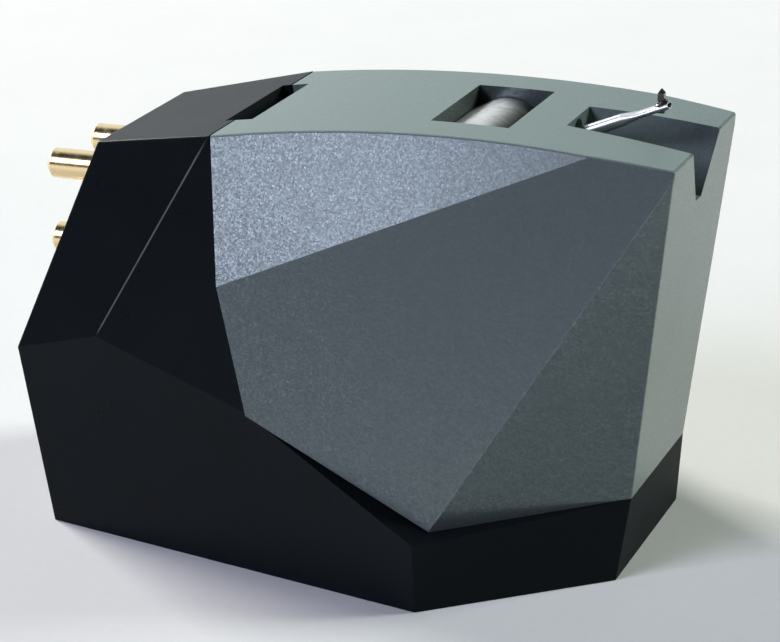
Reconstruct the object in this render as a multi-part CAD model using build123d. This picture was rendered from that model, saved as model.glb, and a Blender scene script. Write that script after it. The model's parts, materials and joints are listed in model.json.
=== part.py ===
from build123d import *
import math
import os

os.makedirs("parts", exist_ok=True)

# A moving-magnet stylus cartridge, lying on its mounting face with the stylus up. Millimetres, +Z up.
# The origin is midway between the two mounting holes, on the mounting face. +X is the front, where the
# stylus is, and the two sides mirror each other in y = 0. Corners are given as (x, half width, height).

# The stylus tip over the mounting face: the heights of the upper half are drops below it
TIP_HEIGHT = 18.0

# Mounting
HOLE_SPACING = 12.7
HOLE_RADIUS = 1.25
INSERT_RADIUS = 1.7
INSERT_LENGTH = 2.6
INSERT_FIT = 0.03
INSERT_END_ROOM = 0.2

# Stylus axis: it slopes up to the front and every inner piece lies along it, at a distance behind the diamond
AXIS_ANGLE = 22.0
DIAMOND_X = 9.40
DIAMOND_STAND = 0.72
DIAMOND_AXIS_HEIGHT = TIP_HEIGHT - DIAMOND_STAND
ANGLE = math.radians(AXIS_ANGLE)
FORWARD = Vector(math.cos(ANGLE), 0, math.sin(ANGLE))
AXIS_ORIGIN = Vector(DIAMOND_X, 0, DIAMOND_AXIS_HEIGHT)

# Generator
NOSE_SHIELD_FRONT = 5.65
NOSE_SHIELD_LENGTH = 6.80
NOSE_SHIELD_HALF_WIDTH = 2.60
NOSE_SHIELD_HALF_HEIGHT = 1.88
NOSE_SHIELD_BEND = 1.6
SHIELD_SHEET = 0.25
SHIELD_FIT = 0.03
NOSE_SHIELD_HOLE_CLEARANCE = 0.15
NOSE_CAVITY_CLEARANCE = 0.15
COIL_SHIELD_GAP = 0.15
COIL_SHIELD_LENGTH = 5.2
COIL_SHIELD_HALF = 2.36
POLE_OFFSET = 1.05
POLE_HALF = 0.25
POLE_FRONT = 7.20
BOBBIN_FRONT_ROOM = 0.45
BOBBIN_LENGTH = 5.0
BOBBIN_BARREL_RADIUS = 0.46
BOBBIN_FLANGE_HALF = 1.0
BOBBIN_FLANGE = 0.30
WINDING_RADIUS = 0.94
INNER_FIT = 0.02
POLE_REAR_ROOM = 0.40
YOKE_THICKNESS = 0.30
YOKE_WIDTH = 0.70
YOKE_OVERHANG = 0.35
YOKE_GAP = 0.05
YOKE_END_ROOM = 0.25
COIL_SHIELD_FRONT = NOSE_SHIELD_FRONT + NOSE_SHIELD_LENGTH + COIL_SHIELD_GAP
COIL_SHIELD_REAR = COIL_SHIELD_FRONT + COIL_SHIELD_LENGTH
BOBBIN_FRONT = COIL_SHIELD_FRONT + BOBBIN_FRONT_ROOM
BOBBIN_REAR = BOBBIN_FRONT + BOBBIN_LENGTH
POLE_REAR = BOBBIN_REAR + POLE_REAR_ROOM
YOKE_STEP = YOKE_THICKNESS + YOKE_GAP
YOKES_REAR = POLE_REAR + YOKE_STEP + YOKE_THICKNESS
GENERATOR_REAR = AXIS_ORIGIN - FORWARD * YOKES_REAR

# Terminals, behind the generator
PIN_RADIUS = 0.60
PIN_END_CHAMFER = 0.20
PIN_STEM_RADIUS = 0.35
PIN_SPACING_Y = 3.76
PIN_SPACING_Z = 3.05
PIN_UPPER_RISE = 3.375
PIN_END_INSET = 0.10
PIN_INNER_STAND = 0.40
PLATE_ROOM = 1.09
PLATE_THICKNESS = 1.0
PLATE_EDGE_SIDE = 1.42
PLATE_EDGE_ABOVE = 1.12
PLATE_EDGE_BELOW = 2.05
PLATE_FIT = 0.03
PLATE_LEDGE = 0.20
CHAMBER_DEPTH = 1.50
LEAD_RADIUS = 0.08
LEAD_FIT = 0.02
PIN_UPPER_HEIGHT = GENERATOR_REAR.Z + PIN_UPPER_RISE
PIN_LOWER_HEIGHT = PIN_UPPER_HEIGHT - PIN_SPACING_Z
PLATE_WIDTH = PIN_SPACING_Y + 2 * PLATE_EDGE_SIDE
PLATE_BOTTOM = PIN_LOWER_HEIGHT - PLATE_EDGE_BELOW
PLATE_TOP = PIN_UPPER_HEIGHT + PLATE_EDGE_ABOVE
PLATE_FRONT_X = GENERATOR_REAR.X - PLATE_ROOM
PLATE_REAR_X = PLATE_FRONT_X - PLATE_THICKNESS

# Corners of the black body
BASE_REAR_X = -13.60
BASE_REAR_INSET = 3.31
BASE_WIDEST_X = 2.97
BASE_EAR_WALL = 1.23
BASE_FRONT_HALF_WIDTH = 4.12
TAIL_X = -15.10
TAIL_HEIGHT = 6.91
TAIL_TOP_X = -11.89
TAIL_SIDE_WALL = 0.57
TAIL_ROOF = 0.54
SHOULDER_X = -6.62
SHOULDER_INSET = 4.25
SHOULDER_DROP = 1.83
FLANK_X = -11.23
FLANK_HEIGHT = 8.06
HIP_X = -4.26
HIP_INSET = 1.67
HIP_HEIGHT = 6.28
BASE_HALF_WIDTH = HOLE_SPACING / 2 + INSERT_RADIUS + BASE_EAR_WALL
BASE_REAR = (BASE_REAR_X, BASE_HALF_WIDTH - BASE_REAR_INSET, 0.0)
BASE_WIDEST = (BASE_WIDEST_X, BASE_HALF_WIDTH, 0.0)
HIP = (HIP_X, BASE_HALF_WIDTH - HIP_INSET, HIP_HEIGHT)
TAIL_TOP = (TAIL_TOP_X, PLATE_WIDTH / 2 + TAIL_SIDE_WALL, PLATE_TOP + TAIL_ROOF)
SHOULDER = (SHOULDER_X, BASE_HALF_WIDTH - SHOULDER_INSET, TIP_HEIGHT - SHOULDER_DROP)
PIN_END_X = TAIL_X + PIN_END_INSET

# Corners of the grey stylus housing
FRONT_X = 9.09
FRONT_LEAN = 7.27
RIDGE_START_X = -5.60
RIDGE_START_INSET = 2.10
RIDGE_START_DROP = 7.02
RIDGE_END_X = 8.15
VALLEY_X = 2.95
VALLEY_INSET = 1.54
VALLEY_HEIGHT = 2.53
NOSE_LOW_HALF_WIDTH = 3.53
NOSE_LOW_HEIGHT = 3.11
NOSE_TOP_HALF_WIDTH = 4.20
NOSE_TOP_DROP = 1.80
CHEEK_TOP_DROP = 0.35
DOME_RADIUS = 60.0
DOME_X = 2.30
DOME_DROP = 1.18
EDGE_RADIUS = 0.12
RIDGE_START = (RIDGE_START_X, BASE_HALF_WIDTH - RIDGE_START_INSET, TIP_HEIGHT - RIDGE_START_DROP)
VALLEY = (VALLEY_X, BASE_HALF_WIDTH - VALLEY_INSET, VALLEY_HEIGHT)
NOSE_TOP_HEIGHT = TIP_HEIGHT - NOSE_TOP_DROP
DOME_HEIGHT = TIP_HEIGHT - DOME_DROP

# Openings in the housing
WINDOW_REAR_X = 1.35
WINDOW_LENGTH = 3.05
WINDOW_WIDTH = 5.40
SLOT_REAR_X = 6.20
SLOT_REAR_WIDTH = 2.80
SLOT_FRONT_WIDTH = 3.70
SLOT_REAR_DROP = 3.40
SLOT_FRONT_DROP = 4.15
SLOT_REAR_FLOOR_WIDTH = 0.80
SLOT_FRONT_FLOOR_WIDTH = 0.70
GRIP_GAP_BEHIND = 0.36
GRIP_GAP_AHEAD = 0.77
GRIP_GAP_WIDTH = 5.50
GRIP_GAP_DEPTH = 1.60
SLOT_REAR_FLOOR = TIP_HEIGHT - SLOT_REAR_DROP
SLOT_FRONT_FLOOR = TIP_HEIGHT - SLOT_FRONT_DROP

# Shell and plug
WALL = 1.10
FRONT_WALL = 1.20
ROOF = 0.70
SLOT_FLOOR_WALL = 1.25
PLUG_CLEARANCE = 0.20
PLUG_FRONT_X = 1.00
PLUG_ROOF = 0.65
SEAT_GAP = 0.06

# Stylus assembly
CARRIER_RADIUS = 0.90
CARRIER_WALL = 0.22
CARRIER_FRONT = 4.20
CARRIER_REAR = 11.0
CARRIER_FIT = 0.02
CANTILEVER_RADIUS = 0.24
CANTILEVER_WALL = 0.06
CANTILEVER_REAR = 6.0
CANTILEVER_OVERHANG = 0.33
TIP_FLAT_LENGTH = 0.95
TIP_FLAT_BLEND = 0.65
TIP_FLAT_HALF_WIDTH = 0.29
TIP_FLAT_HALF_HEIGHT = 0.14
TIP_BORE_DEPTH = 0.45
CANTILEVER_PORT_RADIUS = 0.55
PIVOT = 5.60
DAMPER_RADIUS = 0.63
DAMPER_HOLE_RADIUS = 0.30
DAMPER_THICKNESS = 0.60
MAGNET_RADIUS = 0.36
MAGNET_LENGTH = 1.90
WIRE_RADIUS = 0.07
WIRE_GAP = 0.08
WIRE_STAND = 0.25
ANCHOR_LENGTH = 0.90
DIAMOND_WIDTH = 0.24
DIAMOND_ROOT = 0.20
DIAMOND_POINT_LENGTH = 0.16
DIAMOND_FIT = 0.012

# How far a cut runs past the piece, and a length well past every edge of the part for cutting blocks
OVERCUT = 1.0
REACH = 90.0

INSIDE = Vector(0, 0, TAIL_HEIGHT / 2)


def front_x(height):
    """X of the leaning front face at a height."""
    return FRONT_X + height * math.tan(math.radians(FRONT_LEAN))


def dome_height(x, drop=0.0):
    """Height of the domed top at x, or of a surface that lies drop below it."""
    radius = DOME_RADIUS - drop
    return DOME_HEIGHT - DOME_RADIUS + math.sqrt(radius**2 - (x - DOME_X) ** 2)


def near(corner):
    """A corner on the near side, at minus its half width."""
    return Vector(corner[0], -corner[1], corner[2])


def facet(p, q, r):
    """The plane through three corners of the near side, facing outwards."""
    normal = (q - p).cross(r - p).normalized()
    if normal.dot(INSIDE - p) > 0:
        normal = normal * -1
    return Plane(origin=p, z_dir=normal)


def cross_facet(x0, z0, x1, z1):
    """The plane through a line in the mid plane that runs straight across the part, facing outwards."""
    return facet(Vector(x0, 0, z0), Vector(x1, 0, z1), Vector(x0, 1, z0))


def half_width_on(plane, x, z):
    """Half width of a near-side facet at a place in the mid plane."""
    p, n = plane.origin, plane.z_dir
    return -(p.Y - (n.X * (x - p.X) + n.Z * (z - p.Z)) / n.Y)


def inner_side(plane, inset=0.0):
    """A large block on the inner side of a facet, its face moved inwards by the inset."""
    block = Box(REACH, REACH, REACH, align=(Align.CENTER, Align.CENTER, Align.MAX))
    return plane.offset(-inset).location * block


def both_sides(plane, inset=0.0):
    """The block on the inner side of a near facet and of its mirror image."""
    block = inner_side(plane, inset)
    return block & mirror(block, about=Plane.XZ)


def block_between(x0, x1, width, z0, z1):
    """A box across the mid plane between two x and two heights."""
    box = Box(x1 - x0, width, z1 - z0, align=(Align.MIN, Align.CENTER, Align.MIN))
    return Pos(x0, 0, z0) * box


def on_axis(behind, y=0.0, above=0.0):
    """The plane square to the stylus axis, its local x along Y and its local y away from the base."""
    plane = Plane(origin=AXIS_ORIGIN - FORWARD * behind, x_dir=(0, 1, 0), z_dir=FORWARD)
    return plane.shift_origin(plane.from_local_coords(Vector(y, above, 0)))


def rod(front, rear, radius, y=0.0, above=0.0):
    """A round bar along the stylus axis between two distances behind the diamond."""
    return extrude(on_axis(front, y, above) * Circle(radius), amount=front - rear)


def bar(front, rear, half_width, half_height, y=0.0, above=0.0):
    """A rectangular bar along the stylus axis."""
    section = Rectangle(2 * half_width, 2 * half_height)
    return extrude(on_axis(front, y, above) * section, amount=front - rear)


def base_front():
    """The lower corner of the front face on the near side."""
    return Vector(FRONT_X, -BASE_FRONT_HALF_WIDTH, 0)


def nose_low():
    """The near corner where the front face crosses the seam."""
    return Vector(front_x(NOSE_LOW_HEIGHT), -NOSE_LOW_HALF_WIDTH, NOSE_LOW_HEIGHT)


def body_facets():
    """The sloping side facets of the black body, near side."""
    skirt = facet(near(BASE_REAR), near(BASE_WIDEST), near(HIP))
    tail = Vector(TAIL_X, -half_width_on(skirt, TAIL_X, TAIL_HEIGHT), TAIL_HEIGHT)
    flank = Vector(FLANK_X, -half_width_on(skirt, FLANK_X, FLANK_HEIGHT), FLANK_HEIGHT)
    quarter = facet(near(TAIL_TOP), near(SHOULDER), tail)
    waist = facet(near(SHOULDER), near(HIP), flank)
    bow = facet(near(BASE_WIDEST), base_front(), nose_low())
    return [skirt, quarter, waist, bow]


def housing_facets():
    """The upper, main and front-corner facets of the stylus housing, near side."""
    top = Vector(front_x(NOSE_TOP_HEIGHT), -NOSE_TOP_HALF_WIDTH, NOSE_TOP_HEIGHT)
    main = facet(near(RIDGE_START), near(VALLEY), top)
    ridge_end_height = dome_height(RIDGE_END_X)
    ridge_end = Vector(RIDGE_END_X, -half_width_on(main, RIDGE_END_X, ridge_end_height), ridge_end_height)
    upper = facet(near(SHOULDER), near(RIDGE_START), ridge_end)
    cheek_height = NOSE_TOP_HEIGHT - CHEEK_TOP_DROP
    cheek_x = front_x(cheek_height)
    cheek_top = Vector(cheek_x, -half_width_on(main, cheek_x, cheek_height), cheek_height)
    cheek = facet(near(VALLEY), nose_low(), cheek_top)
    return [upper, main, cheek]


def front_facet():
    """The leaning front face, shared by the body and the housing."""
    return cross_facet(FRONT_X, 0, front_x(NOSE_TOP_HEIGHT), NOSE_TOP_HEIGHT)


def dome(drop=0.0):
    """The space under the domed top, or under a surface that lies drop below it."""
    barrel = Cylinder(DOME_RADIUS - drop, REACH, rotation=(90, 0, 0))
    return Pos(DOME_X, 0, DOME_HEIGHT - DOME_RADIUS) * barrel


def seat():
    """Everything below and behind the seam between the body and the housing, straight across the part."""
    corners = [(SHOULDER[0], REACH), (SHOULDER[0], SHOULDER[2]), (RIDGE_START[0], RIDGE_START[2])]
    corners += [(HIP[0], HIP[2]), (VALLEY[0], VALLEY[2]), (front_x(NOSE_LOW_HEIGHT), NOSE_LOW_HEIGHT)]
    corners += [(REACH, NOSE_LOW_HEIGHT), (REACH, -REACH), (-REACH, -REACH), (-REACH, REACH)]
    outline = make_face(Polyline(*corners, close=True))
    return extrude(Plane.XZ * outline, amount=REACH, both=True)


def softened(solid):
    """The solid with every edge that reaches a corner of the part rounded a little, its halves alike."""
    corners = [v for v in solid.vertices() if max(abs(v.X), abs(v.Y), abs(v.Z)) < REACH / 4]
    edges = [e for e in solid.edges() if any(v in corners for v in e.vertices())]
    half = fillet(edges, EDGE_RADIUS) & Pos(0, REACH / 2, 0) * Box(REACH, REACH, REACH)
    return half + mirror(half, about=Plane.XZ)


def housing_outside():
    """The outside of the stylus housing before the seam is cut, with softened edges."""
    shape = dome() & inner_side(front_facet())
    shape &= block_between(-REACH / 3, REACH / 3, REACH, -REACH / 3, REACH / 3)
    for plane in housing_facets():
        shape &= both_sides(plane)
    return shape


def housing_inside(extra=0.0):
    """The hollow under the housing walls, or a plug that keeps an extra clearance from them."""
    shape = dome(ROOF + extra) & inner_side(front_facet(), FRONT_WALL + extra)
    shape &= block_between(-REACH / 3, REACH / 3, REACH, -REACH / 3, REACH / 3)
    for plane in housing_facets():
        shape &= both_sides(plane, WALL + extra)
    return shape


def body_outside():
    """The outside of the black body before the seam is cut."""
    tail_face = cross_facet(TAIL_TOP[0], TAIL_TOP[2], TAIL_X, TAIL_HEIGHT)
    under_tail = cross_facet(TAIL_X, TAIL_HEIGHT, BASE_REAR[0], BASE_REAR[2])
    top_face = cross_facet(TAIL_TOP[0], TAIL_TOP[2], SHOULDER[0], SHOULDER[2])
    shape = block_between(-REACH / 3, REACH / 3, REACH, 0, REACH / 3)
    for plane in [tail_face, under_tail, top_face, front_facet()]:
        shape &= inner_side(plane)
    for plane in body_facets():
        shape &= both_sides(plane)
    return shape


def grip_gap():
    """The finger gap across the top between the body and the housing."""
    floor = SHOULDER[2] - GRIP_GAP_DEPTH
    rear = SHOULDER_X - GRIP_GAP_BEHIND
    return block_between(rear, SHOULDER_X + GRIP_GAP_AHEAD, GRIP_GAP_WIDTH, floor, REACH / 3)


def slot():
    """The stylus slot: a V that widens and deepens to the front, through the front face."""
    top = DOME_HEIGHT + OVERCUT
    sections = []
    for x, width, floor, floor_width in [
        (SLOT_REAR_X, SLOT_REAR_WIDTH, SLOT_REAR_FLOOR, SLOT_REAR_FLOOR_WIDTH),
        (front_x(top), SLOT_FRONT_WIDTH, SLOT_FRONT_FLOOR, SLOT_FRONT_FLOOR_WIDTH),
    ]:
        rise = (top - floor) / (dome_height(x) - floor)
        half = floor_width / 2 + (width - floor_width) / 2 * rise
        points = [(-half, top), (half, top), (floor_width / 2, floor), (-floor_width / 2, floor)]
        sections.append(Plane.YZ.offset(x) * make_face(Polyline(*points, close=True)))
    return loft(sections, ruled=True)


def stylus_housing():
    """The grey shell: hollow behind its web and under the slot, open below and behind."""
    shape = softened(housing_outside()) - seat().moved(Pos(FORWARD * SEAT_GAP))
    cavity = housing_inside()
    web = NOSE_SHIELD_FRONT - NOSE_CAVITY_CLEARANCE
    behind_web = on_axis(web).location * Box(
        REACH, REACH, REACH, align=(Align.CENTER, Align.CENTER, Align.MAX)
    )
    floor = SLOT_FRONT_FLOOR - SLOT_FLOOR_WALL
    under_slot = block_between(-REACH / 3, REACH / 3, REACH, -REACH / 3, floor)
    shape -= cavity & (behind_web + under_slot)
    window_front_x = WINDOW_REAR_X + WINDOW_LENGTH
    shape -= block_between(WINDOW_REAR_X, window_front_x, WINDOW_WIDTH, DOME_HEIGHT - 2 * ROOF, REACH / 3)
    shape -= slot()
    shape -= rod(CARRIER_FRONT, NOSE_SHIELD_FRONT, CARRIER_RADIUS + CARRIER_FIT)
    shape -= rod(0, CARRIER_FRONT, CANTILEVER_PORT_RADIUS)
    return shape - grip_gap()


def nose_shield_profile(inset):
    """The side outline of the nose shield, bent round at the front, inset by a sheet thickness."""
    height = 2 * (NOSE_SHIELD_HALF_HEIGHT - inset)
    outline = Rectangle(NOSE_SHIELD_LENGTH, height, align=(Align.MAX, Align.CENTER))
    corners = outline.vertices().sort_by(Axis.X)[-2:]
    outline = fillet(corners, NOSE_SHIELD_BEND - inset)
    side = Plane(origin=AXIS_ORIGIN, x_dir=FORWARD, z_dir=(0, -1, 0))
    return side * Pos(-NOSE_SHIELD_FRONT - inset, 0) * outline


def nose_shield():
    """The metal screen round the pole tips, with a hole for the stylus tube, open behind."""
    outer = extrude(nose_shield_profile(0), amount=NOSE_SHIELD_HALF_WIDTH, both=True)
    inner = extrude(nose_shield_profile(SHIELD_SHEET), amount=NOSE_SHIELD_HALF_WIDTH - SHIELD_SHEET, both=True)
    hole = rod(0, NOSE_SHIELD_FRONT + NOSE_SHIELD_LENGTH, CARRIER_RADIUS + NOSE_SHIELD_HOLE_CLEARANCE)
    return outer - inner - hole


POLES = [("right_upper", -1, 1), ("left_upper", 1, 1), ("left_lower", 1, -1), ("right_lower", -1, -1)]


def pole_extra(y, up):
    """How much further back a pole reaches: the second diagonal pair passes the first yoke."""
    return YOKE_STEP if y * up > 0 else 0.0


def coil_shield():
    """The square metal sleeve round the four coils."""
    inner = COIL_SHIELD_HALF - SHIELD_SHEET
    sleeve = bar(COIL_SHIELD_FRONT, COIL_SHIELD_REAR, COIL_SHIELD_HALF, COIL_SHIELD_HALF)
    return sleeve - bar(COIL_SHIELD_FRONT - OVERCUT, COIL_SHIELD_REAR + OVERCUT, inner, inner)


def pole(y, up):
    """A square pole bar from beside the magnet to its yoke."""
    rear = POLE_REAR + pole_extra(y, up)
    return bar(POLE_FRONT, rear, POLE_HALF, POLE_HALF, y * POLE_OFFSET, up * POLE_OFFSET)


def bobbin(y, up):
    """A spool on a pole bar: a round barrel between two square flanges."""
    place = (y * POLE_OFFSET, up * POLE_OFFSET)
    spool = rod(BOBBIN_FRONT, BOBBIN_REAR, BOBBIN_BARREL_RADIUS, *place)
    for front in (BOBBIN_FRONT, BOBBIN_REAR - BOBBIN_FLANGE):
        spool += bar(front, front + BOBBIN_FLANGE, BOBBIN_FLANGE_HALF, BOBBIN_FLANGE_HALF, *place)
    hole = POLE_HALF + INNER_FIT
    return spool - bar(BOBBIN_FRONT - OVERCUT, BOBBIN_REAR + OVERCUT, hole, hole, *place)


def winding(y, up):
    """The copper wound between the flanges of a spool."""
    place = (y * POLE_OFFSET, up * POLE_OFFSET)
    front = BOBBIN_FRONT + BOBBIN_FLANGE + INNER_FIT
    rear = BOBBIN_REAR - BOBBIN_FLANGE - INNER_FIT
    return rod(front, rear, WINDING_RADIUS, *place) - rod(
        front - OVERCUT, rear + OVERCUT, BOBBIN_BARREL_RADIUS + INNER_FIT, *place
    )


def yoke(lean):
    """A flat strip across the rear ends of two opposite poles, leaning one way or the other."""
    front = POLE_REAR + (YOKE_STEP if lean > 0 else 0.0)
    length = 2 * (POLE_OFFSET * math.sqrt(2) + YOKE_OVERHANG)
    strip = on_axis(front) * Rot(0, 0, 45 * lean) * Rectangle(length, YOKE_WIDTH)
    return extrude(strip, amount=-YOKE_THICKNESS)


def pin_place(y, up):
    """Y and height of a terminal pin."""
    return (y * PIN_SPACING_Y / 2, PIN_UPPER_HEIGHT if up > 0 else PIN_LOWER_HEIGHT)


def terminal_pin(y, up):
    """A terminal pin with a bevelled outer end, a shoulder on the plate and a thin stem through it."""
    side, height = pin_place(y, up)
    from_end = (Align.CENTER, Align.CENTER, Align.MIN)
    pin = Cylinder(PIN_RADIUS, PLATE_REAR_X - PIN_END_X, rotation=(0, 90, 0), align=from_end)
    pin = Pos(PIN_END_X, 0, 0) * chamfer(pin.edges().group_by(Axis.X)[0], PIN_END_CHAMFER)
    stem_length = PLATE_THICKNESS + PIN_INNER_STAND
    stem = Cylinder(PIN_STEM_RADIUS, stem_length, rotation=(0, 90, 0), align=from_end)
    return Pos(0, side, height) * (pin + Pos(PLATE_REAR_X, 0, 0) * stem)


def plate_block(margin, x0, x1):
    """A block with the outline of the terminal plate, grown by a margin."""
    return block_between(x0, x1, PLATE_WIDTH + 2 * margin, PLATE_BOTTOM - margin, PLATE_TOP + margin)


def terminal_plate():
    """The insulating plate that holds the four pins at the bottom of the rear recess."""
    plate = plate_block(0, PLATE_REAR_X, PLATE_FRONT_X)
    for name, y, up in POLES:
        side, height = pin_place(y, up)
        hole = Cylinder(PIN_STEM_RADIUS + INNER_FIT, 4 * PLATE_THICKNESS, rotation=(0, 90, 0))
        plate -= Pos(PLATE_FRONT_X, side, height) * hole
    return plate


def coil_lead(y, up):
    """The wire end of a winding, six-sided, from the rear of its spool to the inner end of a terminal pin."""
    flange_edge = (BOBBIN_FLANGE_HALF - 2 * LEAD_RADIUS) / math.sqrt(2)
    place = POLE_OFFSET + flange_edge
    start = on_axis(BOBBIN_REAR + LEAD_FIT + LEAD_RADIUS, y * place, up * place).origin
    side, height = pin_place(y, up)
    end = Vector(PLATE_FRONT_X + PIN_INNER_STAND + LEAD_FIT + LEAD_RADIUS, side, height)
    line = Plane(origin=start, z_dir=end - start)
    return extrude(line * RegularPolygon(LEAD_RADIUS, 6), amount=(end - start).length)


def cartridge_body():
    """The black body: base, rear block and plug in one moulding, with its bores and recesses."""
    shape = softened_body() & seat()
    top = NOSE_SHIELD_HALF_HEIGHT + PLUG_ROOF
    under_nose = on_axis(0, 0, top).location * Box(
        REACH, REACH, REACH, align=(Align.CENTER, Align.MAX, Align.CENTER)
    )
    plug_rear = SHOULDER_X - OVERCUT
    rear_part = under_nose & block_between(plug_rear, PLUG_FRONT_X, REACH, OVERCUT, REACH / 3)
    low_top = SLOT_FRONT_FLOOR - SLOT_FLOOR_WALL - PLUG_CLEARANCE
    low_part = block_between(plug_rear, REACH / 3, REACH, OVERCUT, low_top)
    plug = housing_inside(PLUG_CLEARANCE) & (rear_part + low_part)
    shape += plug & both_sides(body_facets()[0], WALL)
    shape -= bar(0, COIL_SHIELD_FRONT, NOSE_SHIELD_HALF_WIDTH + SHIELD_FIT, NOSE_SHIELD_HALF_HEIGHT + SHIELD_FIT)
    coil_half = COIL_SHIELD_HALF + SHIELD_FIT
    shape -= bar(COIL_SHIELD_FRONT - COIL_SHIELD_GAP / 2, YOKES_REAR + YOKE_END_ROOM, coil_half, coil_half)
    shape -= plate_block(PLATE_FIT, -REACH / 3, PLATE_FRONT_X)
    shape -= plate_block(-PLATE_LEDGE, PLATE_REAR_X, PLATE_FRONT_X + CHAMBER_DEPTH)
    for side in (-1, 1):
        bore = Cylinder(INSERT_RADIUS + INSERT_FIT, INSERT_LENGTH + INSERT_END_ROOM, align=(
            Align.CENTER, Align.CENTER, Align.MIN))
        shape -= Pos(0, side * HOLE_SPACING / 2, 0) * bore
    return shape - grip_gap()


def softened_body():
    """The outside of the black body with its sloping edges softened, the bottom edge left sharp."""
    shape = body_outside()
    edges = [e for e in shape.edges() if max(v.Z for v in e.vertices()) > EDGE_RADIUS]
    return fillet(edges, EDGE_RADIUS)


def insert(side):
    """A threaded brass insert, its bore at the thread's full size."""
    sleeve = Cylinder(INSERT_RADIUS, INSERT_LENGTH, align=(Align.CENTER, Align.CENTER, Align.MIN))
    sleeve -= Cylinder(HOLE_RADIUS, 4 * INSERT_LENGTH)
    return Pos(0, side * HOLE_SPACING / 2, 0) * sleeve


def carrier_tube():
    """The metal tube in the housing's web that holds the stylus suspension."""
    return rod(CARRIER_FRONT, CARRIER_REAR, CARRIER_RADIUS) - rod(
        CARRIER_FRONT - OVERCUT, CARRIER_REAR + OVERCUT, CARRIER_RADIUS - CARRIER_WALL
    )


def damper_ring():
    """The rubber ring that the cantilever turns in."""
    half = DAMPER_THICKNESS / 2
    ring = rod(PIVOT - half, PIVOT + half, DAMPER_RADIUS)
    return ring - rod(PIVOT - OVERCUT, PIVOT + OVERCUT, DAMPER_HOLE_RADIUS)


def magnet():
    """The small magnet on the rear end of the cantilever."""
    return rod(CANTILEVER_REAR, CANTILEVER_REAR + MAGNET_LENGTH, MAGNET_RADIUS)


ANCHOR_FRONT = CARRIER_REAR - ANCHOR_LENGTH


def tie_wire():
    """The thin wire from the anchor to just behind the magnet."""
    return rod(CANTILEVER_REAR + MAGNET_LENGTH + WIRE_GAP, CARRIER_REAR + WIRE_STAND, WIRE_RADIUS)


def wire_anchor():
    """The plug in the rear of the tube that holds the tie wire."""
    plug = rod(ANCHOR_FRONT, CARRIER_REAR, CARRIER_RADIUS - CARRIER_WALL - CARRIER_FIT)
    return plug - rod(ANCHOR_FRONT - OVERCUT, CARRIER_REAR + OVERCUT, WIRE_RADIUS + CARRIER_FIT)


def diamond_block(grow):
    """The square shank of the diamond, grown by a fit."""
    root = DIAMOND_AXIS_HEIGHT - DIAMOND_ROOT
    width = DIAMOND_WIDTH + 2 * grow
    box = Box(width, width, TIP_HEIGHT - root, align=(Align.CENTER, Align.CENTER, Align.MIN))
    return Pos(DIAMOND_X, 0, root) * box


def diamond():
    """The diamond: a square shank through the cantilever, ground to a small tip."""
    shoulder = TIP_HEIGHT - DIAMOND_POINT_LENGTH
    root = DIAMOND_AXIS_HEIGHT - DIAMOND_ROOT
    shank = Box(DIAMOND_WIDTH, DIAMOND_WIDTH, shoulder - root, align=(Align.CENTER, Align.CENTER, Align.MIN))
    base = Plane.XY * Rectangle(DIAMOND_WIDTH, DIAMOND_WIDTH)
    tip = Plane.XY.offset(DIAMOND_POINT_LENGTH) * Rectangle(DIAMOND_WIDTH / 6, DIAMOND_WIDTH / 6)
    point = Pos(0, 0, shoulder - root) * loft([base, tip], ruled=True)
    return Pos(DIAMOND_X, 0, root) * (shank + point)


def cantilever():
    """The aluminium tube that carries the diamond, pressed flat at its open front end."""
    flat_rear = TIP_FLAT_LENGTH
    tube_front = TIP_FLAT_LENGTH + TIP_FLAT_BLEND
    flat = Ellipse(TIP_FLAT_HALF_WIDTH, TIP_FLAT_HALF_HEIGHT)
    shape = rod(tube_front, CANTILEVER_REAR, CANTILEVER_RADIUS)
    shape += loft([on_axis(tube_front) * Circle(CANTILEVER_RADIUS), on_axis(flat_rear) * flat], ruled=True)
    shape += extrude(on_axis(-CANTILEVER_OVERHANG) * flat, amount=-CANTILEVER_OVERHANG - flat_rear)
    mouth = Ellipse(TIP_FLAT_HALF_WIDTH - CANTILEVER_WALL, TIP_FLAT_HALF_HEIGHT - CANTILEVER_WALL)
    shape -= extrude(on_axis(-CANTILEVER_OVERHANG) * mouth, amount=-TIP_BORE_DEPTH)
    shape -= rod(tube_front, CANTILEVER_REAR + OVERCUT, CANTILEVER_RADIUS - CANTILEVER_WALL)
    return shape - diamond_block(DIAMOND_FIT)


def pieces():
    """Every separate piece by its name."""
    out = {
        "cartridge_body": cartridge_body(),
        "stylus_housing": stylus_housing(),
        "mount_insert_right": insert(-1),
        "mount_insert_left": insert(1),
        "nose_shield": nose_shield(),
        "coil_shield": coil_shield(),
        "yoke_front": yoke(-1),
        "yoke_rear": yoke(1),
        "terminal_plate": terminal_plate(),
        "carrier_tube": carrier_tube(),
        "wire_anchor": wire_anchor(),
        "tie_wire": tie_wire(),
        "damper_ring": damper_ring(),
        "magnet": magnet(),
        "cantilever": cantilever(),
        "diamond": diamond(),
    }
    for name, y, up in POLES:
        out["pole_" + name] = pole(y, up)
        out["bobbin_" + name] = bobbin(y, up)
        out["winding_" + name] = winding(y, up)
        out["coil_lead_" + name] = coil_lead(y, up)
        out["terminal_pin_" + name] = terminal_pin(y, up)
    return out


for piece_name, piece in pieces().items():
    export_step(piece, f"parts/{piece_name}.step")
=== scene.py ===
"""A turntable stylus cartridge: finishes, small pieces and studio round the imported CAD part."""

import json
import math

import bmesh
import bpy
import numpy as np
from bpy.props import FloatProperty, FloatVectorProperty, PointerProperty
from mathutils import Matrix, Vector


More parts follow.
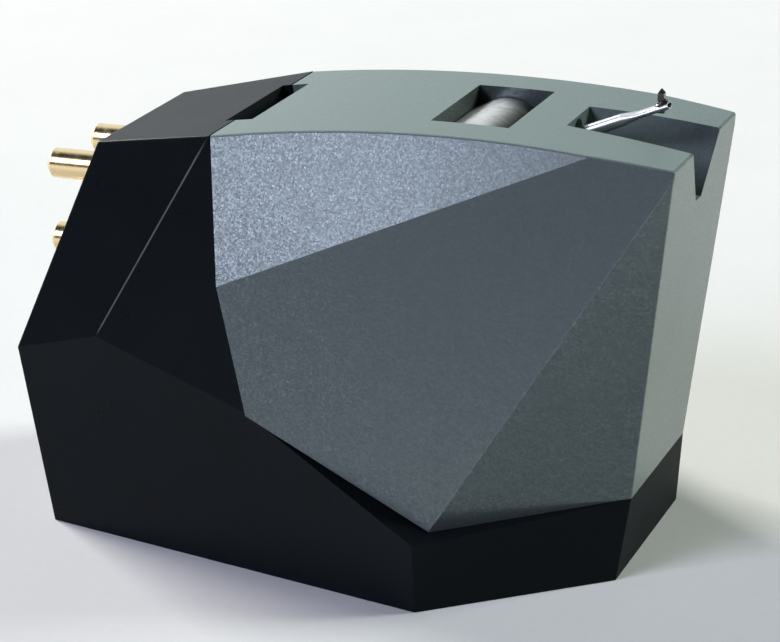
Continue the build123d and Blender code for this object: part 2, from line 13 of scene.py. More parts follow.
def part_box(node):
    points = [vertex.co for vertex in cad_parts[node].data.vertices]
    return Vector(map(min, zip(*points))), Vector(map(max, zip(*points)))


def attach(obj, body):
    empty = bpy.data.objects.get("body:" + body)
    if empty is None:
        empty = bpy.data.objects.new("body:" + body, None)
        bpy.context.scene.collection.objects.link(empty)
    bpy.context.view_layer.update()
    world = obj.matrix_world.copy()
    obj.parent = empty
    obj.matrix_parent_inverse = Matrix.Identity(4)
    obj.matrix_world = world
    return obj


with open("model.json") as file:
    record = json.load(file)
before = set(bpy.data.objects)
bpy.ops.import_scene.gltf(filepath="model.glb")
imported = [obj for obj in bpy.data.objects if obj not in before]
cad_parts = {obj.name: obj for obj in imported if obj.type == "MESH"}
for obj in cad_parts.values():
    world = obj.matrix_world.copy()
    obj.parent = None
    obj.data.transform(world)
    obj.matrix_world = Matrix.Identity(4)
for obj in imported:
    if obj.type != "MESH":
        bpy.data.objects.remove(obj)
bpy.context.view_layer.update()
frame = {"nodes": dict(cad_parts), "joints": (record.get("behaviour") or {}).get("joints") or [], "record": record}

bl_info = {
    "name": "Stylus cartridge",
    "version": (1, 0, 0),
    "blender": (4, 5, 0),
    "location": "3D View > Sidebar > Cartridge",
    "description": "Finishes, small pieces and studio of a moving-magnet stylus cartridge",
    "category": "Object",
}

MM = 0.001
SLOPE = math.asin(frame["joints"][0]["axis"][2])
CORNERS = ("right_upper", "left_upper", "left_lower", "right_lower")
MOUNTS = {mount["name"]: mount for mount in frame["record"]["mounts"]}
HOLE_PLACE = MOUNTS["mounting_holes"]["dims"]["spacing_y_mm"] / 2 * MM
HOLE_RADIUS = MOUNTS["mounting_holes"]["dims"]["hole_r_mm"] * MM
PIN_SIDE = MOUNTS["terminal_left_upper"]["pos_m"][1]
PIN_UPPER = MOUNTS["terminal_left_upper"]["pos_m"][2]
PIN_LOWER = MOUNTS["terminal_left_lower"]["pos_m"][2]

# Steps of the new pieces' grids: round a thread, over one pitch of it, round the bead and up it
THREAD_ROUND, THREAD_PITCH, BEAD_ROUND, BEAD_CLIMB = 96, 15, 48, 16

# Width over which a painted or shaded patch fades out
FADE = 0.03 * MM

# Cosines of the angles from its middle at which the white room has faded out and is full
ROOM_FADE = (0.55, 0.80)

# Lamps: azimuth and elevation in degrees, distance and side in metres, and colour
LAMPS = {
    "key": (245, 25, 1.0, 0.36, (0.97, 1.0, 0.93)),
    "side": (125, 25, 1.0, 0.36, (0.88, 1.0, 0.89)),
    "fill": (320, 32, 1.0, 0.36, (0.74, 0.80, 1.0)),
    "glint": (-21.8, 25.4, 0.3, 0.05, (0.80, 0.79, 1.0)),
}


class Value:
    """A number that changes over a surface: a socket whose arithmetic adds Math nodes."""

    def __init__(self, finish, socket):
        self.finish = finish
        self.socket = socket

    def math(self, operation, *numbers):
        """The output of a Math node on these numbers."""
        sockets = dict(enumerate(numbers))
        node = self.finish.node("ShaderNodeMath", {"operation": operation}, sockets)
        return Value(self.finish, node.outputs[0])

    def __add__(self, other):
        return self.math("ADD", self, other)

    __radd__ = __add__

    def __sub__(self, other):
        return self.math("SUBTRACT", self, other)

    def __rsub__(self, other):
        return self.math("SUBTRACT", other, self)

    def __mul__(self, other):
        return self.math("MULTIPLY", self, other)

    __rmul__ = __mul__

    def __truediv__(self, other):
        return self.math("DIVIDE", self, other)

    def __rtruediv__(self, other):
        return self.math("DIVIDE", other, self)

    def __pow__(self, other):
        return self.math("POWER", self, other)

    def __rpow__(self, other):
        return self.math("POWER", other, self)

    def __gt__(self, other):
        return self.math("GREATER_THAN", self, other)

    def __lt__(self, other):
        return self.math("LESS_THAN", self, other)

    def __abs__(self):
        return self.math("ABSOLUTE", self)

    def least(self, other):
        """The smaller of the two."""
        return self.math("MINIMUM", self, other)

    def rise(self, low, high):
        """0 below low, 1 above high, and a soft S between them. With low above high it falls instead."""
        sockets = {"Value": self, "From Min": low, "From Max": high}
        node = self.finish.node("ShaderNodeMapRange", {"interpolation_type": "SMOOTHSTEP"}, sockets)
        return Value(self.finish, node.outputs[0])


class Finish:
    """A material in the making: node() adds any node, and the other methods are short forms of it."""

    def __init__(self, name, **constants):
        self.material = bpy.data.materials.new(name)
        self.material.use_nodes = True
        self.tree = self.material.node_tree
        self.shader = self.tree.nodes["Principled BSDF"]
        coordinates = self.node("ShaderNodeTexCoord").outputs
        self.place, self.facing = coordinates["Object"], coordinates["Normal"]
        self.fill(constants)

    @classmethod
    def of_tree(cls, tree):
        """The same tools on a tree that isn't a material's, such as the world's."""
        tools = cls.__new__(cls)
        tools.tree = tree
        return tools

    def node(self, kind, settings=None, sockets=None):
        """Adds a node of a kind: its settings are set first, then its sockets get their values or links."""
        node = self.tree.nodes.new(kind)
        for name, setting in (settings or {}).items():
            setattr(node, name, setting)
        for name, value in (sockets or {}).items():
            self.feed(node.inputs[name], value)
        return node

    def feed(self, socket, value):
        """Links a value or an output to a socket, or sets the socket to a number."""
        source = value.socket if isinstance(value, Value) else value
        if isinstance(source, bpy.types.NodeSocket):
            self.tree.links.new(source, socket)
        else:
            socket.default_value = source

    def vector(self, operation, *vectors, output=0):
        """A Vector Math node's output: the first is a vector and the second a number."""
        sockets = dict(enumerate(vectors))
        return self.node("ShaderNodeVectorMath", {"operation": operation}, sockets).outputs[output]

    def parts(self, vector):
        """The three numbers of a vector or a colour."""
        node = self.node("ShaderNodeSeparateXYZ", None, {0: vector})
        return [Value(self, output) for output in node.outputs]

    def joined(self, x, y, z):
        """A vector from three numbers."""
        return self.node("ShaderNodeCombineXYZ", None, {0: x, 1: y, 2: z}).outputs[0]

    def sloping(self, scale=(1, 1, 1)):
        """Object coordinates turned about Y, so that a sloping piece lies along X, and then stretched."""
        sockets = {"Vector": self.place, "Rotation": (0, SLOPE, 0)}
        return self.vector("MULTIPLY", self.node("ShaderNodeMapping", None, sockets).outputs[0], scale)

    def noise(self, scale, detail, place=None):
        """Soft noise from 0 to 1 with that many blotches to a metre."""
        sockets = {"Vector": place or self.place, "Scale": scale, "Detail": detail}
        return Value(self, self.node("ShaderNodeTexNoise", None, sockets).outputs[0])

    def grains(self, scale):
        """A random colour for each grain, with that many grains to a metre."""
        sockets = {"Vector": self.place, "Scale": scale}
        return self.node("ShaderNodeTexVoronoi", None, sockets).outputs["Color"]

    def blend(self, factor, first, second):
        """The first colour where the factor is 0 and the second where it is 1."""
        first, second = [c if isinstance(c, bpy.types.NodeSocket) else (*c, 1.0) for c in (first, second)]
        node = self.node("ShaderNodeMix", {"data_type": "RGBA"}, {0: factor, 6: first, 7: second})
        return node.outputs[2]

    def ray(self, kind):
        """1 for rays of that kind, such as Camera or Glossy, and 0 for others."""
        return Value(self, self.node("ShaderNodeLightPath").outputs["Is %s Ray" % kind])

    def bump(self, height, depth, strength):
        """The surface normal over a height from 0 to 1 that stands for that depth in metres."""
        sockets = {"Height": height, "Distance": depth, "Strength": strength}
        return self.node("ShaderNodeBump", None, sockets).outputs[0]

    def outward(self, normal):
        """A normal given in the piece's own frame, as the shader takes it."""
        spaces = {"vector_type": "NORMAL", "convert_from": "OBJECT", "convert_to": "WORLD"}
        return self.node("ShaderNodeVectorTransform", spaces, {"Vector": normal}).outputs[0]

    def fill(self, sockets):
        """Feeds the shader's sockets, with plain names: specular_ior_level is Specular IOR Level."""
        for name, value in sockets.items():
            self.feed(self.shader.inputs[name.replace("_", " ").title().replace("Ior", "IOR")], value)

    def done(self, **sockets):
        """Feeds the sockets that change over the surface and returns the material."""
        self.fill(sockets)
        return self.material


def tinted(colour, share):
    """A colour made lighter or darker by a share of itself."""
    return tuple(min(1.0, channel * share) for channel in colour)


def dress(material, *nodes):
    """Gives CAD nodes a material in place of the plain one they came with."""
    for name in nodes:
        for slot in frame["nodes"][name].material_slots:
            slot.material = material


def grid_mesh(name, points, material, wrapped=(False, False)):
    """A mesh on a grid of points: quads join neighbours, and a wrapped direction closes on itself."""
    rows, columns = points.shape[:2]
    index = np.arange(rows * columns).reshape(rows, columns)
    index = np.pad(index, [(0, int(wrapped[0])), (0, int(wrapped[1]))], mode="wrap")
    corners = [index[:-1, :-1], index[1:, :-1], index[1:, 1:], index[:-1, 1:]]
    quads = np.stack(corners, axis=-1).reshape(-1, 4)
    mesh = bpy.data.meshes.new(name)
    mesh.from_pydata(points.reshape(-1, 3).tolist(), [], quads.tolist())
    mesh.materials.append(material)
    return mesh


def grid_piece(name, points, body, material, wrapped):
    """A closed, smooth piece on a grid of points that rides on a body: equal points, such as those of a pole,
    become one, and faces turn outwards."""
    mesh = grid_mesh(name, points, material, wrapped)
    shape = bmesh.new()
    shape.from_mesh(mesh)
    bmesh.ops.remove_doubles(shape, verts=shape.verts, dist=1e-8)
    bmesh.ops.recalc_face_normals(shape, faces=shape.faces)
    shape.to_mesh(mesh)
    shape.free()
    mesh.shade_smooth()
    piece = bpy.data.objects.new(name, mesh)
    bpy.context.scene.collection.objects.link(piece)
    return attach(piece, body)


def all_round(steps):
    """Angles from 0 to just before a whole turn, as a column."""
    return np.linspace(0, 2 * math.pi, steps, endpoint=False)[:, None]


def thread_points(side, sizes):
    """An internal screw thread round a bore, as a closed ring: the inner wall stands in from the bore by the
    thread depth times a triangle wave of height over pitch less the turn, and the depth fades to nothing at
    both ends. The outer wall is the bore itself, a hair inside it."""
    low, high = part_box("mount_insert_left")
    turn = all_round(THREAD_ROUND)
    pitches = round((high.z - low.z) / sizes.pitch)
    height = np.linspace(low.z, high.z, THREAD_PITCH * pitches)[None, :]
    wave = 1 - np.abs(2 * ((height / sizes.pitch - turn / (2 * math.pi)) % 1) - 1)
    fade = np.clip(np.minimum(height - low.z, high.z - height) / sizes.lead_in, 0, 1)
    wall = HOLE_RADIUS - sizes.hair
    inner = wall - sizes.hair - sizes.depth * wave * fade
    outer = np.broadcast_to(wall, (turn.size, 2))
    radius = np.hstack([inner, outer])
    level = np.broadcast_to(np.hstack([height, [[high.z, low.z]]]), radius.shape)
    return np.stack([radius * np.cos(turn), radius * np.sin(turn) + side * HOLE_PLACE, level], axis=-1)


def bead_points(sizes):
    """A bead of adhesive at the foot of the diamond: rings round the shank whose radius falls from the foot
    to the shank as a power of the height left, longer along the arm than across it, closed by a point above,
    inside the diamond, and one below, inside the arm."""
    low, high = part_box("diamond")
    arm_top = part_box("cantilever")[1].z
    foot = Vector(((low.x + high.x) / 2, 0, arm_top - sizes.sink))
    turn = all_round(BEAD_ROUND)
    climb = np.linspace(0, 1, BEAD_CLIMB)[None, :]
    radius = sizes.shank + (sizes.spread - sizes.shank) * (1 - climb) ** sizes.thinning
    radius = np.hstack([[[0.0]], radius, [[0.0]]])
    rise = np.hstack([[[-sizes.sink]], climb * sizes.height, [[sizes.height]]])
    along = radius * np.cos(turn) * sizes.stretch
    across = radius * np.sin(turn)
    above = np.broadcast_to(rise, along.shape)
    x = foot.x + along * math.cos(SLOPE)
    z = foot.z + above + along * math.sin(SLOPE)
    return np.stack([x, across, z], axis=-1)


def floor_points(size, level):
    """A level sheet: x and y run over a square of that size at one height."""
    run = np.linspace(-size / 2, size / 2, 9)
    x, y = np.meshgrid(run, run, indexing="ij")
    return np.stack([x, y, np.full_like(x, level)], axis=-1)


def aim(azimuth, elevation):
    """The direction to a place round the part: azimuth 0 is in front of the near side, 90 at the nose."""
    a, e = math.radians(azimuth), math.radians(elevation)
    return Vector((math.sin(a) * math.cos(e), -math.cos(a) * math.cos(e), math.sin(e)))


def painted_edge_highlight(f, settings):
    """How strongly a highlight is painted along an edge, on both sides of the part: 1 near the line between the
    highlight's ends, less towards the ends, and broken up by noise."""
    x, y, z = f.parts(f.place)
    start, end = Vector(settings.highlight_start), Vector(settings.highlight_end)
    length = (end - start).length
    along = tuple((end - start).normalized())
    away = f.vector("SUBTRACT", f.joined(x, abs(y), z), tuple(start))
    run = Value(f, f.vector("DOT_PRODUCT", away, along, output=1))
    off = Value(f, f.vector("LENGTH", f.vector("CROSS_PRODUCT", away, along), output=1))
    line = off.rise(settings.highlight_width, settings.highlight_width * 0.3)
    ends = run.rise(0.0, settings.highlight_start_fade) * run.rise(length, length - settings.highlight_end_fade)
    return line * ends * (0.5 + f.noise(2500, 3) * 0.5)


def black_moulding(settings):
    """Black moulded plastic: a fine grain, faint cloudiness, and a pale line painted along the edge of the rear
    facets as their highlight. The faces that look up or to the nose are duller than the flanks."""
    f = Finish("black_moulding", specular_ior_level=0.11)
    cloud = f.noise(350, 4)
    grain = f.noise(9000, 2)
    forward, _, up = f.parts(f.facing)
    dull = (forward + up).rise(0.74, 0.86) * settings.dull
    black = f.blend(cloud, tinted(settings.black, 0.85), tinted(settings.black, 1.15))
    return f.done(
        # Painted highlight: a pale line along the edge between the rear facets
        base_color=f.blend(painted_edge_highlight(f, settings) * 0.75, black, settings.highlight_colour),
        roughness=settings.satin + dull + (cloud - 0.5) * 0.08 + (grain - 0.5) * 0.06,
        normal=f.bump(grain, 0.002 * MM, 0.6),
    )


def flake_shader(f, settings, grain, normal):
    """Metal flakes: each grain has its own shade, gloss and slight tilt, less of it towards the nose, so that
    it glints where a lamp is near its mirror direction."""
    red, _, blue = f.parts(grain)
    x = f.parts(f.place)[0]
    spread = settings.flake_tilt * (1 - 0.75 * x.rise(settings.flat_start, settings.flat_end))
    lean = f.vector("SUBTRACT", grain, (0.5, 0.5, 0.5))
    tilt = f.node("ShaderNodeVectorMath", {"operation": "SCALE"}, {0: lean, "Scale": spread * 2}).outputs[0]
    return f.node("ShaderNodeBsdfPrincipled", None, {
        "Base Color": f.blend(red, tinted(settings.grey, 1.2), tinted(settings.grey, 2.8)),
        "Metallic": 1.0,
        "Roughness": settings.flake_satin + (blue - 0.5) * 0.1,
        "Normal": f.vector("NORMALIZE", f.vector("ADD", normal, tilt)),
    }).outputs[0]


def window_painted_shade(f, settings):
    """1 on the upright faces inside the window's box, where shade is painted, and 0 elsewhere."""
    x, y, _ = f.parts(f.place)
    upright = f.parts(f.facing)[2].rise(0.5, 0.3)
    past_rear = x.rise(settings.window_rear - FADE, settings.window_rear)
    before_front = x.rise(settings.window_front + FADE, settings.window_front)
    between_sides = abs(y).rise(settings.window_side + FADE, settings.window_side)
    return upright * past_rear * before_front * between_sides


def grey_moulding(settings):
    """Grey plastic filled with metal flakes, which are a second shader over the plain plastic. The roof is
    duller, and paler as painted light, and the window's walls are darker as painted shade. The roof's edge
    looks crisp: where the surface turns down from the roof, its normal leans back up and a paler painted
    highlight is laid on it."""
    f = Finish("grey_moulding", specular_ior_level=0.5)
    up = f.parts(f.facing)[2]
    roof = up.rise(0.6, 0.9)
    rim = abs(f.parts(f.place)[1]).rise(settings.slot_side, settings.slot_side + settings.slot_fade)
    crisp = up.rise(0.42, 0.60) * up.rise(0.985, 0.93) * rim
    # Painted highlight: the small rounding along the roof's edge is given a paler colour
    pale_patch = up.rise(0.40, 0.48) * up.rise(0.85, 0.65) * rim
    normal = f.outward(f.vector("NORMALIZE", f.vector("ADD", f.facing, f.joined(0.0, 0.0, crisp * 4))))
    grain = f.grains(1 / settings.flake_size)
    red, green, _ = f.parts(grain)
    flakes = flake_shader(f, settings, grain, normal)
    share = settings.flake_share * (0.4 + green * 1.2) * (1 - 0.6 * roof)
    both = f.node("ShaderNodeMixShader", None, {0: share, 1: f.shader.outputs[0], 2: flakes})
    f.feed(f.tree.nodes["Material Output"].inputs["Surface"], both.outputs[0])
    cloud = f.noise(220, 4)
    flank = f.blend(cloud * 0.6 + red * 0.4, tinted(settings.grey, 0.98), tinted(settings.grey, 1.02))
    # Painted light: the roof is made paler than the flanks
    plain = f.blend(roof, flank, tinted(settings.grey, 1.5))
    with_edge_highlight = f.blend(pale_patch, plain, tinted(settings.grey, 2.2))
    return f.done(
        # Painted shade: the upright walls inside the window are made darker
        base_color=f.blend(window_painted_shade(f, settings), with_edge_highlight, tinted(settings.grey, 0.40)),
        roughness=settings.satin + roof * settings.dull + (cloud - 0.5) * 0.06,
        normal=normal,
    )


def screen_metal(settings):
    """Bright sheet with fine lines along it, and painted shade where the sheet bends round at the
    nose: dark from a distance along the slope, with a ragged edge from the lines."""
    f = Finish("screen_metal", metallic=1.0)
    along = f.parts(f.sloping())[0]
    lines = f.noise(16000, 2, f.sloping((0.03, 1, 0.03)))
    film = f.noise(2200, 4)
    ragged = along + (lines - 0.5) * settings.bend_shade_ragged
    # Painted shade: the sheet turns dark round its bend at the nose, from a distance along the slope
    scale = ragged.rise(settings.bend_shade_start, settings.bend_shade_start + settings.bend_shade_fade)
    tone = (lines * 0.5 + film * 0.5).rise(0.3, 0.7)
    bright = f.blend(tone, tinted(settings.shield, 0.70), tinted(settings.shield, 1.2))
    return f.done(
        base_color=f.blend(scale * 0.8, bright, settings.scale),
        roughness=0.40 + (lines - 0.5) * 0.16 + scale * 0.05,
        normal=f.bump(lines, 0.012 * MM, 0.8),
    )


def drawn_metal(name, colour, roughness, fine, across=(0.04, 1, 1)):
    """Bare metal with fine lines: noise stretched along the way the piece was drawn or brushed, a duller film
    in patches, and a shallow bump from the same lines."""
    f = Finish(name, metallic=1.0)
    lines = f.noise(fine, 2, f.sloping(across))
    film = f.noise(900, 4)
    tone = lines * 0.6 + film * 0.4
    return f.done(
        base_color=f.blend(tone, tinted(colour, 0.78), tinted(colour, 1.08)),
        roughness=roughness + (lines - 0.5) * 0.16 + film.rise(0.5, 0.75) * 0.07,
        normal=f.bump(lines, 0.0015 * MM, 0.8),
    )


def turned_brass(settings):
    """Machined brass: rings round each insert's bore from the distance to its axis, and a faint tarnish."""
    f = Finish("turned_brass", metallic=1.0)
    x, y, z = f.parts(f.place)
    side = abs(y) - HOLE_PLACE
    reach = (x * x + side * side) ** 0.5
    rings = f.noise(14000, 2, f.joined(reach, 0.0, z * 0.35))
    tarnish = f.noise(600, 4).rise(0.42, 0.78)
    bright = f.blend(rings, tinted(settings.brass, 0.85), tinted(settings.brass, 1.1))
    return f.done(
        base_color=f.blend(tarnish * 0.5, bright, settings.tarnish),
        roughness=0.24 + rings * 0.14 + tarnish * 0.12,
        normal=f.bump(rings, 0.003 * MM, 0.8),
    )


def plated_gold(settings):
    """Gold plating over turned pins: fine rings along the pin, and a paler rubbed skin at its clip end."""
    f = Finish("plated_gold", metallic=1.0)
    x, y, z = f.parts(f.place)
    rings = f.noise(12000, 2, f.joined(x, y * 0.05, z * 0.05))
    pale_patch = f.noise(2600, 3).rise(0.45, 0.7) * x.rise(settings.gold_rub_start, settings.gold_rub_end)
    gold = f.blend(rings, tinted(settings.gold, 0.92), tinted(settings.gold, 1.05))
    return f.done(
        base_color=f.blend(pale_patch * 0.5, gold, settings.gold_rubbed),
        roughness=0.16 + rings * 0.1 + pale_patch * 0.1,
        normal=f.bump(rings, 0.0015 * MM, 0.6),
    )


def terminal_board(settings):
    """Matt board with a painted ring round each pin in the usual terminal colours, from the distance to the
    nearer pin on the same side."""
    f = Finish("terminal_board", specular_ior_level=0.35)
    _, y, z = f.parts(f.place)
    side = abs(y) - PIN_SIDE
    upper, lower = z - PIN_UPPER, z - PIN_LOWER
    near = ((side * side + upper * upper) ** 0.5).least((side * side + lower * lower) ** 0.5)
    paint = near.rise(settings.ring_outer, settings.ring_outer - FADE)
    high = z > (PIN_UPPER + PIN_LOWER) / 2
    right = f.blend(high, settings.right_return, settings.right_live)
    left = f.blend(high, settings.left_return, settings.left_live)
    colour = f.blend(y > 0.0, right, left)
    weave = f.noise(7000, 3)
    board = f.blend(weave, tinted(settings.board, 0.7), tinted(settings.board, 1.3))
    return f.done(
        base_color=f.blend(paint * (0.9 + weave * 0.1), board, colour),
        roughness=0.62 - paint * 0.22 + (weave - 0.5) * 0.12,
        normal=f.bump(weave + paint * 1.5, 0.004 * MM, 0.7),
    )


def wound_copper(settings):
    """Enamelled copper wire: bands one wire wide along the coil's axis, each turn lighter or darker."""
    f = Finish("wound_copper", metallic=1.0, coat_weight=0.4, coat_roughness=0.2)
    turns = f.parts(f.sloping())[0] / settings.wire
    ridge = abs(turns.math("FRACT", turns) - 0.5) * 2
    shade = f.noise(1.0, 0, f.joined(turns.math("FLOOR", turns), 0.0, 0.0))
    tone = shade * 0.6 + (1 - ridge) * 0.4
    return f.done(
        base_color=f.blend(tone, tinted(settings.copper, 0.7), tinted(settings.copper, 1.15)),
        roughness=0.28 + ridge * 0.15,
        normal=f.bump(1 - ridge, 0.02 * MM, 0.8),
    )


def matt_compound(name, colour, roughness, specks, swing, gloss):
    """A dull moulded or cured compound: speckle and soft clouds in colour, roughness and a shallow bump."""
    f = Finish(name, specular_ior_level=gloss)
    speck = f.noise(specks, 3)
    cloud = f.noise(700, 4)
    tone = speck * 0.6 + cloud * 0.4
    return f.done(
        base_color=f.blend(tone, tinted(colour, 1 - swing), tinted(colour, 1 + swing)),
        roughness=roughness + (cloud - 0.5) * 0.16 + (speck - 0.5) * 0.08,
        normal=f.bump(speck, 0.004 * MM, 0.7),
    )


def floor_sheet(settings):
    """Matt white paper with a faint mottle and grain. What the camera, gloss and glass see of it is whiter
    than what it throws back as light."""
    f = Finish("floor_sheet", specular_ior_level=0.1, roughness=0.9)
    mottle = f.noise(160, 5)
    grain = f.noise(2200, 3)
    seen = f.ray("Camera") + f.ray("Glossy") + f.ray("Transmission")
    shade = (mottle * 0.5 + grain * 0.5).rise(0.3, 0.7)
    thrown, shown = [f.blend(shade, tinted(c, 0.97), c) for c in (settings.floor_bounce, settings.floor)]
    return f.done(
        base_color=f.blend(seen.rise(0.4, 0.6), thrown, shown),
        normal=f.bump(grain, 0.02 * MM, 0.3),
    )


def size(name, description, default, unit="LENGTH"):
    """A length, or with another unit a plain number, that a user may change."""
    return FloatProperty(name=name, description=description, default=default, unit=unit, precision=5)


def tint(name, description, default):
    """A colour that a user may change."""
    return FloatVectorProperty(
        name=name, description=description, default=default, subtype="COLOR", min=0, max=1)


def spot(name, description, default):
    """A place that a user may change."""
    return FloatVectorProperty(
        name=name, description=description, default=default, subtype="TRANSLATION", precision=5)


class BodySettings(bpy.types.PropertyGroup):
    """Finish of the black body"""

    black: tint("Black", "Colour of the moulded body", (0.0056, 0.0086, 0.0112))
    satin: size("Roughness", "How dull the moulding is", 0.29, "NONE")
    dull: size("Dulling", "How much duller faces towards the roof and the nose are", 0.36, "NONE")
    # These paint a highlight as a pale line along the edge between the rear facets: its colour, ends, width and
    # fades
    highlight_colour: tint("Rub", "Colour of the plastic where an edge is rubbed", (0.34, 0.35, 0.32))
    highlight_start: spot("Rub start", "Upper end of the rubbed edge", (-6.62 * MM, 5.03 * MM, 16.17 * MM))
    highlight_end: spot("Rub end", "Lower end of the rubbed edge", (-11.23 * MM, 6.17 * MM, 8.06 * MM))
    highlight_width: size("Rub width", "Half width of the rubbed edge", 0.05 * MM)
    highlight_start_fade: size("Rub start fade", "Length over which the rub comes in at its upper end", 1.2 * MM)
    highlight_end_fade: size("Rub end fade", "Length over which the rub goes out at its lower end", 0.5 * MM)


class HousingSettings(bpy.types.PropertyGroup):
    """Finish of the grey housing, its flakes, roof edge and window"""

    grey: tint("Grey", "Colour of the stylus housing", (0.155, 0.193, 0.190))
    satin: size("Roughness", "How dull the moulding is", 0.34, "NONE")
    dull: size("Dulling", "How much duller the roof is", 0.26, "NONE")
    flake_size: size("Flake size", "Width of a metal flake", 0.065 * MM)
    flake_tilt: size("Flake tilt", "How far flakes lean from the surface", 0.09, "NONE")
    flat_start: size("Flat start", "From where flakes lie flatter, towards the nose", -6.5 * MM)
    flat_end: size("Flat end", "Where flakes lie flattest", 2.5 * MM)
    flake_satin: size("Flake roughness", "How dull a flake is", 0.24, "NONE")
    flake_share: size("Flake share", "Share of the surface that is flakes", 0.13, "NONE")
    window_rear: size("Window rear", "Where the window starts", 1.35 * MM)
    window_front: size("Window front", "Where the window ends", 4.40 * MM)
    window_side: size("Window side", "Half width of the window", 2.70 * MM)
    # The slot's half width keeps the leaned normal and the painted edge highlight off the slot's walls
    slot_side: size("Slot side", "Half width of the slot, which the edge's finish keeps off", 2.0 * MM)
    slot_fade: size("Slot fade", "Width over which the edge's finish comes in beside the slot", 0.2 * MM)


class MetalSettings(bpy.types.PropertyGroup):
    """Colours and marks of the bare metals"""

    brass: tint("Brass", "Colour of the inserts and the wire anchor", (0.74, 0.53, 0.22))
    tarnish: tint("Tarnish", "Colour of tarnished brass", (0.36, 0.22, 0.08))
    shield: tint("Shield", "Colour of the magnetic screens", (0.92, 0.92, 0.87))
    # Painted shade round the screen's bend: its colour, where it starts, how fast it comes in and how far its edge
    # wanders
    scale: tint("Scale", "Colour of the screen round its bend", (0.10, 0.11, 0.11))
    bend_shade_start: size("Scale start", "Where the dark bend starts, along the slope", 8.85 * MM)
    bend_shade_fade: size("Scale fade", "Length over which the dark bend comes in", 0.55 * MM)
    bend_shade_ragged: size("Scale raggedness", "How far the dark bend's edge wanders", 0.6 * MM)
    iron: tint("Iron", "Colour of the pole bars and yokes", (0.50, 0.50, 0.50))
    gold: tint("Gold", "Colour of the terminal pins", (0.95, 0.74, 0.40))
    gold_rubbed: tint("Rubbed gold", "Colour of the pins where clips rub", (0.93, 0.83, 0.62))
    gold_rub_start: size("Gold rub start", "Where the pins start to look rubbed", -13.0 * MM)
    gold_rub_end: size("Gold rub end", "From where the pins are rubbed all round", -14.6 * MM)
    copper: tint("Copper", "Colour of the windings", (0.66, 0.27, 0.12))
    wire: size("Wire", "Pitch of the coil turns", 0.06 * MM)
    aluminium: tint("Aluminium", "Colour of the cantilever", (0.57, 0.58, 0.60))
    tube: tint("Tube", "Colour of the carrier tube", (0.70, 0.70, 0.71))
    steel: tint("Steel", "Colour of the tie wire", (0.58, 0.58, 0.60))
    magnet: tint("Magnet", "Colour of the magnet", (0.33, 0.33, 0.34))


class CompoundSettings(bpy.types.PropertyGroup):
    """Colours of the small moulded pieces inside"""

    spool: tint("Spool", "Colour of the coil spools", (0.72, 0.68, 0.57))
    rubber: tint("Rubber", "Colour of the damper ring", (0.018, 0.018, 0.018))


class TerminalSettings(bpy.types.PropertyGroup):
    """The terminal board and its painted rings"""

    board: tint("Board", "Colour of the terminal board", (0.020, 0.020, 0.022))
    ring_outer: size("Ring radius", "Outer radius of the painted rings", 0.95 * MM)
    left_live: tint("Left live", "Ring of the left channel's live pin", (0.75, 0.75, 0.73))
    left_return: tint("Left return", "Ring of the left channel's return pin", (0.03, 0.10, 0.42))
    right_live: tint("Right live", "Ring of the right channel's live pin", (0.48, 0.03, 0.03))
    right_return: tint("Right return", "Ring of the right channel's return pin", (0.02, 0.24, 0.07))


class ThreadSettings(bpy.types.PropertyGroup):
    """Sizes of the threads in the inserts"""

    pitch: size("Pitch", "Rise of the thread in one turn", 0.45 * MM)
    depth: size("Depth", "Height of the thread over the bore", 0.24 * MM)
    lead_in: size("Lead-in", "Length over which the thread fades at each end", 0.35 * MM)
    hair: size("Hair", "Room between the thread ring and the bore", 0.004 * MM)


class TipSettings(bpy.types.PropertyGroup):
    """The diamond and the bead at its foot"""

    diamond: tint("Diamond", "Colour of the tip", (0.030, 0.026, 0.024))
    adhesive: tint("Adhesive", "Colour of the bead at the tip's foot", (0.035, 0.026, 0.020))
    spread: size("Spread", "Radius of the bead at its foot", 0.23 * MM)
    shank: size("Shank", "Radius of the bead at its top", 0.165 * MM)
    thinning: size("Thinning", "How fast the bead thins above its foot, as a power", 2.2, "NONE")
    height: size("Height", "How far the bead climbs the tip", 0.11 * MM)
    sink: size("Sink", "How far the foot lies in the arm", 0.10 * MM)
    stretch: size("Stretch", "Length of the bead over its width", 1.25, "NONE")


